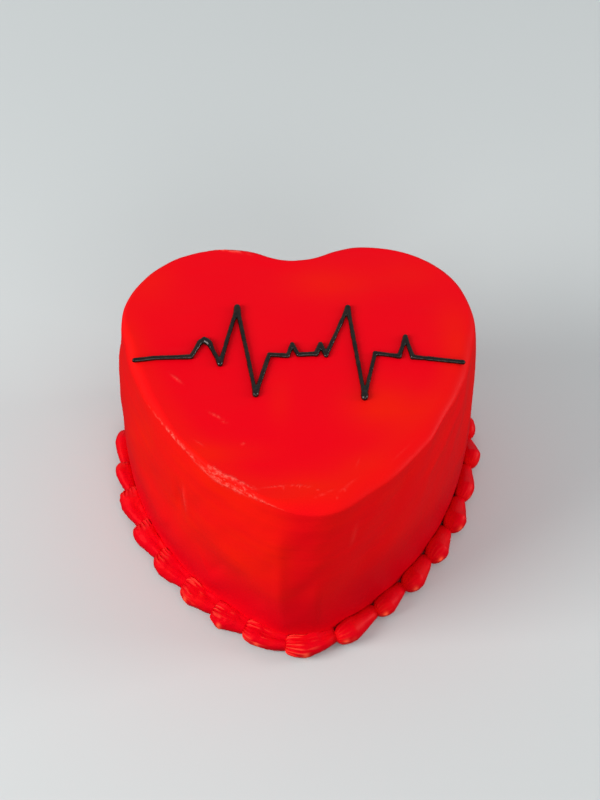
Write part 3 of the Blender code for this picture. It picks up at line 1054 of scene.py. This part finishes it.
line = {
    "radius": 0.00120,
    "cornerReach": 0.0036,  # how far from a corner the line is thicker
    "lift": 0.00080,
    "forward": 0.00090,  # how far the line lies in front of the middle
    "around": 20,
    "step": 0.0006,
    "fewest": 4,  # steps of the shortest bead
    "capSteps": 6,
    "sway": 0.00012,
    "swaySize": 0.0070,
    "uneven": ((0.0026, 0.10, 1), (0.0090, 0.09, 2)),  # how the thickness varies: size, share, seed
    "firstSeed": 200,
    "voxel": 0.00028,
    "settling": (0.5, 4),  # how much the icing settles, and how often
}
# x, y from the middle of the top, and how thick the line is there
linePoints = (
    (-0.0853, 0.0096, 1.0), (-0.0751, 0.0109, 1.0), (-0.0561, 0.0113, 1.1),
    (-0.0517, 0.0205, 1.2), (-0.0493, 0.0226, 1.3), (-0.0466, 0.02, 1.3),
    (-0.0413, 0.0062, 1.3), (-0.0319, 0.0445, 1.4), (-0.0234, -0.0142, 1.5), (-0.0158, 0.0118, 1.0),
    (-0.0063, 0.0108, 1.1), (-0.0037, 0.0185, 1.1), (-0.0009, 0.0114, 1.1), (0.0084, 0.0117, 1.2),
    (0.0109, 0.0181, 1.1), (0.0135, 0.0106, 1.1), (0.0264, 0.043, 1.4), (0.0319, -0.0174, 1.5),
    (0.0389, 0.0114, 1.1), (0.0513, 0.0091, 1.1), (0.0554, 0.0221, 1.2), (0.0582, 0.0085, 1.1),
    (0.0839, 0.0044, 1.0),
)


def beadStroke(start, end, radii, seed):
    # one pull of the bag: a round bead between two points, uneven in width and path
    count = max(line["fewest"], int((end - start).length / line["step"]))
    share = np.linspace(0, 1, count)
    begin, finish = np.array(start), np.array(end)
    way = (finish - begin) / np.linalg.norm(finish - begin)
    aside = np.array([-way[1], way[0], 0.0])
    middles = begin + np.outer(share, finish - begin)
    sway = patchNoise(middles, line["swaySize"], seed) * line["sway"] * np.sin(share * math.pi)
    middles = middles + np.outer(sway, aside)
    thick = 1 + (radii[0] - 1) * hump(share * count * line["step"], 0, line["cornerReach"])
    thick += (radii[1] - 1) * hump((1 - share) * count * line["step"], 0, line["cornerReach"])
    uneven = [(size, part, seed + more) for size, part, more in line["uneven"]]
    thick *= 1 + layeredNoise(middles, uneven)
    reach = line["radius"] * thick

    def capRing(place, ahead, cap):
        return middles[place] + ahead * way * reach[place] * math.cos(cap), reach[place] * math.sin(cap)

    caps = np.linspace(0, math.pi / 2, line["capSteps"])[1:-1]
    rings = [capRing(0, -1, cap) for cap in caps]
    rings += zip(middles, reach)
    rings += [capRing(-1, 1, cap) for cap in caps[::-1]]
    turns = np.linspace(0, 2 * math.pi, line["around"], endpoint=False)
    straightUp = np.array([0.0, 0, 1])
    points = [middles[0] - way * reach[0]]
    for middle, radius in rings:
        points.extend(middle + radius * (np.cos(turn) * aside + np.sin(turn) * straightUp) for turn in turns)
    points.append(middles[-1] + way * reach[-1])
    return np.array(points), cappedFaces(len(rings), line["around"], True)


def pulseLine(material):
    base = cakeShape["height"] + line["lift"]
    back = topHeart["back"] - line["forward"]
    spots = [Vector((x, y + back, base)) for x, y, thick in linePoints]
    allPoints, allFaces, offset = [], [], 0
    for place in range(len(spots) - 1):
        radii = (linePoints[place][2], linePoints[place + 1][2])
        points, faces = beadStroke(spots[place], spots[place + 1], radii, line["firstSeed"] + 3 * place)
        allPoints.append(points)
        allFaces.extend(part + offset for part in faces)
        offset += len(points)
    piece = makePiece("pulseLine", np.concatenate(allPoints), allFaces, material)
    # the beads melt into one
    remesh = piece.modifiers.new("oneBead", "REMESH")
    remesh.mode = "VOXEL"
    remesh.voxel_size = line["voxel"]
    smooth = piece.modifiers.new("settled", "SMOOTH")
    smooth.factor, smooth.iterations = line["settling"]
    graph = bpy.context.evaluated_depsgraph_get()
    final = bpy.data.meshes.new_from_object(piece.evaluated_get(graph))
    piece.modifiers.clear()
    piece.data = final
    final.shade_smooth()
    if not final.materials:
        final.materials.append(material)
    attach(piece, "root")
    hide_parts("pulse_line")
    print("pulse line:", len(final.vertices), "points")


# floor, light and world

studio = {
    "floor": (0.60, 0.632, 0.640, 1),
    "floorShade": 0.97,  # the floor's darker patches, over its colour
    "floorPatch": 0.6,
    "floorSize": 12.0,
    "floorRoughness": 0.85,
    "floorGloss": 0.1,
    "above": (0.47, 0.49, 0.50, 1),  # the room's light from above the floor
    "below": (0.05, 0.05, 0.05, 1),  # and from below it
    "dimFrom": -0.25,  # the height of the way out where one turns into the other
    "brightFrom": 0.15,
    "aim": (0, 0, 0.06),
}
# where each lamp stands, its size, power and colour
lamps = {
    "windowLeft": ((-1.45, -0.50, 0.98), (0.9, 0.9), 26.5, (1.0, 0.98, 0.95)),
    "fillFront": ((0.5, -2.6, 1.3), (2.0, 1.6), 25.0, (1.0, 0.98, 0.96)),
    "fillRight": ((1.9, 0.0, 0.6), (0.8, 1.0), 17.0, (1.0, 0.98, 0.95)),
}


def addLamp(name, place, size, power, colour):
    data = bpy.data.lights.new(name, "AREA")
    data.shape = "RECTANGLE"
    data.size, data.size_y = size
    data.energy = power
    data.color = colour
    light = bpy.data.objects.new(name, data)
    light.location = place
    way = Vector(studio["aim"]) - Vector(place)
    light.rotation_euler = way.to_track_quat("-Z", "Y").to_euler()
    bpy.context.scene.collection.objects.link(light)


def floorFinish():
    paint = Paint("paleFloor")
    patches = paint.between(paint.grain(studio["floorPatch"]), 0.3, 0.7)
    shade = tuple(studio["floorShade"] * part for part in studio["floor"][:3]) + (1,)
    return paint.finish({
        "Base Color": paint.blend(patches, studio["floor"], shade),
        "Roughness": studio["floorRoughness"],
        "Specular IOR Level": studio["floorGloss"],
    })


def paleRoom():
    paint = Paint("paleRoom", "worlds")
    way = paint.add("ShaderNodeTexCoord", {}, {}, "Generated")
    height = paint.add("ShaderNodeSeparateXYZ", {}, {0: way}, "Z")
    share = paint.add("ShaderNodeMapRange", {}, {
        "Value": height, "From Min": studio["dimFrom"], "From Max": studio["brightFrom"],
    })
    colour = paint.blend(share, studio["below"], studio["above"])
    light = paint.add("ShaderNodeBackground", {}, {"Color": colour})
    paint.add("ShaderNodeOutputWorld", {}, {"Surface": light})
    return paint.owner


def addStudio():
    half = studio["floorSize"] / 2
    corners = [(-half, -half, 0), (half, -half, 0), (half, half, 0), (-half, half, 0)]
    floor = makePiece("floor", corners, [np.array([[0, 1, 2, 3]])], floorFinish())
    floor.visible_diffuse = False  # the cake stands clear of a bright floor's own light
    floor.visible_glossy = False
    for name, lamp in lamps.items():
        addLamp(name, *lamp)
    bpy.context.scene.world = paleRoom()
    bpy.context.scene.view_settings.view_transform = "Standard"
    bpy.context.scene.view_settings.look = "None"
    print("studio ready")


addCamera()
icedCake(redIcing())
pipedBorder(pipedRed())
pulseLine(blackIcing())
addStudio()
